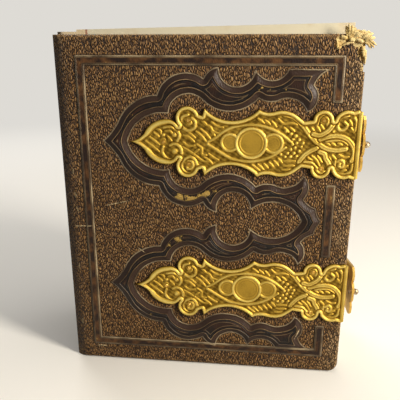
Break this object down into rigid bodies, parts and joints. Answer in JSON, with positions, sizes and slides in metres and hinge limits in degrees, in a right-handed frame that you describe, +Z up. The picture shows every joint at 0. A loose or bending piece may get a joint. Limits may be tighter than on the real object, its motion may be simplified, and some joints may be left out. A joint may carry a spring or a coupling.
{
  "type": "photo album",
  "caption": "Thick antique photo album in blocked dark leather, standing, with stamped brass clasps that swing over the fore-edge and worn corners.",
  "frame": {"origin": "middle of the footprint, on the surface that the tail edges of the covers stand on", "axes": "+X towards the fore-edge with the clasps, +Y from the front cover to the rear cover, +Z up to the head"},
  "size_m": [0.1397, 0.0546, 0.1604],
  "materials": {
    "cover_leather": "semi-gloss pebbled grain, worn",
    "pasteboard": "matt, frayed where bare",
    "lining_paper": "matt",
    "leaf_card": "matt, aged",
    "stamped_brass": "stamped, rubbed bright on the high lines",
    "turned_brass": "polished",
    "pin_steel": "dull"
  },
  "bodies": {
    "book": {"page_block": "leaf_card", "spine_leather": "cover_leather"},
    "front_cover": {"front_board": "pasteboard", "front_leather": "cover_leather", "front_lining": "lining_paper", "upper_front_plate": "stamped_brass", "lower_front_plate": "stamped_brass", "front_plate_pins": "turned_brass"},
    "rear_cover": {"rear_board": "pasteboard", "rear_leather": "cover_leather", "rear_lining": "lining_paper", "upper_rear_plate": "stamped_brass", "lower_rear_plate": "stamped_brass", "rear_plate_pins": "turned_brass", "upper_hinge_pin": "pin_steel", "lower_hinge_pin": "pin_steel"},
    "upper_clasp": {"upper_hasp": "stamped_brass", "upper_hasp_knob": "turned_brass"},
    "lower_clasp": {"lower_hasp": "stamped_brass", "lower_hasp_knob": "turned_brass"}
  },
  "joints": [
    {"name": "front_cover_opens", "type": "hinge", "parent": "book", "child": "front_cover", "pos_m": [-0.06733, -0.023, 0], "axis": [0, 0, -1], "range_deg": [0, 175]},
    {"name": "rear_cover_opens", "type": "hinge", "parent": "book", "child": "rear_cover", "pos_m": [-0.06733, 0.023, 0], "axis": [0, 0, 1], "range_deg": [0, 175]},
    {"name": "upper_hasp_swings", "type": "hinge", "parent": "rear_cover", "child": "upper_clasp", "pos_m": [0.06422, 0.0226, 0.1115], "axis": [0, 0, 1], "range_deg": [-0.8, 165]},
    {"name": "lower_hasp_swings", "type": "hinge", "parent": "rear_cover", "child": "lower_clasp", "pos_m": [0.06422, 0.0226, 0.0425], "axis": [0, 0, 1], "range_deg": [-2.7, 165]}
  ]
}
